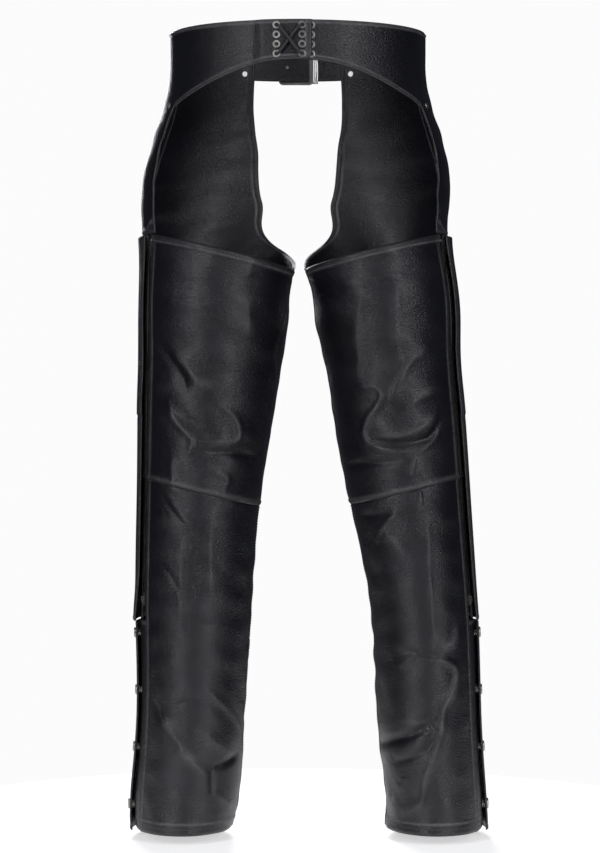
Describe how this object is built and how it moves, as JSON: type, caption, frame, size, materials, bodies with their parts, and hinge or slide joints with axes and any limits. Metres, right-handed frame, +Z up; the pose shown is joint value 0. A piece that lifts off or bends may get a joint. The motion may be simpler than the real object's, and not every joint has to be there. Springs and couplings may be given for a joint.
{
  "type": "riding chaps",
  "caption": "Leather riding chaps in worn shape: open seat, laced back yoke, leg zips under storm flaps, snap cuffs, buckled belt.",
  "frame": {"origin": "centre of the waist opening, level with the belt's top edge", "axes": "+Z up along the body, -Y the way the wearer faces, +X the wearer's left"},
  "size_m": [0.4681, 0.2698, 1.027],
  "materials": {
    "black_leather": "soft sheen, grained",
    "black_lining": "smooth woven nylon",
    "nickel_hardware": "polished, lightly worn",
    "zip_metal": "satin",
    "zip_tape": "matt woven",
    "lace_leather": "matt, worn"
  },
  "bodies": {
    "chaps": {"left_front_thigh": "black_leather", "left_front_shin": "black_leather", "left_back_thigh": "black_leather", "left_back_calf": "black_leather", "left_snap_underlap": "black_leather", "left_yoke": "black_leather", "left_belt_strap": "black_leather", "left_thigh_lining": "black_lining", "left_zip_tape_front": "zip_tape", "left_zip_tape_back": "zip_tape", "left_zip_teeth_front": "zip_metal", "left_zip_teeth_back": "zip_metal", "left_zip_top_stops": "zip_metal", "left_zip_bottom_stops": "zip_metal", "left_snap_studs": "nickel_hardware", "left_snap_posts": "nickel_hardware", "left_eyelets": "nickel_hardware", "left_eyelet_washers": "nickel_hardware", "left_belt_rivets": "nickel_hardware", "left_hip_rivet": "nickel_hardware", "right_front_thigh": "black_leather", "right_front_shin": "black_leather", "right_back_thigh": "black_leather", "right_back_calf": "black_leather", "right_snap_underlap": "black_leather", "right_yoke": "black_leather", "right_belt_strap": "black_leather", "right_thigh_lining": "black_lining", "right_zip_tape_front": "zip_tape", "right_zip_tape_back": "zip_tape", "right_zip_teeth_front": "zip_metal", "right_zip_teeth_back": "zip_metal", "right_zip_top_stops": "zip_metal", "right_zip_bottom_stops": "zip_metal", "right_snap_studs": "nickel_hardware", "right_snap_posts": "nickel_hardware", "right_eyelets": "nickel_hardware", "right_eyelet_washers": "nickel_hardware", "right_belt_rivets": "nickel_hardware", "right_hip_rivet": "nickel_hardware", "lace": "lace_leather"},
    "left_zip_slider": {"left_zip_slider": "nickel_hardware", "left_zip_bail": "nickel_hardware"},
    "left_zip_pull": {"left_zip_pull": "nickel_hardware"},
    "left_storm_flap": {"left_storm_flap": "black_leather"},
    "left_snap_flap": {"left_snap_flap": "black_leather", "left_snap_caps": "nickel_hardware", "left_snap_sockets": "nickel_hardware"},
    "right_zip_slider": {"right_zip_slider": "nickel_hardware", "right_zip_bail": "nickel_hardware"},
    "right_zip_pull": {"right_zip_pull": "nickel_hardware"},
    "right_storm_flap": {"right_storm_flap": "black_leather"},
    "right_snap_flap": {"right_snap_flap": "black_leather", "right_snap_caps": "nickel_hardware", "right_snap_sockets": "nickel_hardware"},
    "buckle": {"buckle_plate": "nickel_hardware", "buckle_pin": "nickel_hardware", "buckle_peg": "nickel_hardware"}
  },
  "joints": [
    {"name": "left_zip_slide", "type": "slide", "parent": "chaps", "child": "left_zip_slider", "axis": [-0.0173, 0.0204, 0.9996], "range_m": [0, 0.4452]},
    {"name": "left_pull_swing", "type": "hinge", "parent": "left_zip_slider", "child": "left_zip_pull", "pos_m": [0.19942, 0.03497, -0.72999], "axis": [0.3745, -0.9269, 0.0254], "range_deg": [0, 165]},
    {"name": "left_storm_flap_hinge", "type": "hinge", "parent": "chaps", "child": "left_storm_flap", "pos_m": [0.1969, -0.041, -0.509], "axis": [0.0134, 0.0202, -0.9997], "range_deg": [0, 95]},
    {"name": "left_snap_flap_hinge", "type": "hinge", "parent": "chaps", "child": "left_snap_flap", "pos_m": [0.1957, -0.053, -0.8945], "axis": [0.0317, 0, -0.9995], "range_deg": [0, 95]},
    {"name": "right_zip_slide", "type": "slide", "parent": "chaps", "child": "right_zip_slider", "axis": [0.0722, 0.0204, 0.9972], "range_m": [0, 0.4463]},
    {"name": "right_pull_swing", "type": "hinge", "parent": "right_zip_slider", "child": "right_zip_pull", "pos_m": [-0.2222, 0.03498, -0.72992], "axis": [0.3742, 0.9262, -0.046], "range_deg": [0, 165]},
    {"name": "right_storm_flap_hinge", "type": "hinge", "parent": "chaps", "child": "right_storm_flap", "pos_m": [-0.20755, -0.041, -0.509], "axis": [0.0721, -0.0202, 0.9972], "range_deg": [0, 95]},
    {"name": "right_snap_flap_hinge", "type": "hinge", "parent": "chaps", "child": "right_snap_flap", "pos_m": [-0.223, -0.053, -0.8945], "axis": [0.0452, 0, 0.999], "range_deg": [0, 95]},
    {"name": "buckle_hinge", "type": "hinge", "parent": "chaps", "child": "buckle", "pos_m": [-0.0242, -0.12646, -0.024], "axis": [0, 0, -1], "range_deg": [0, 100]}
  ]
}
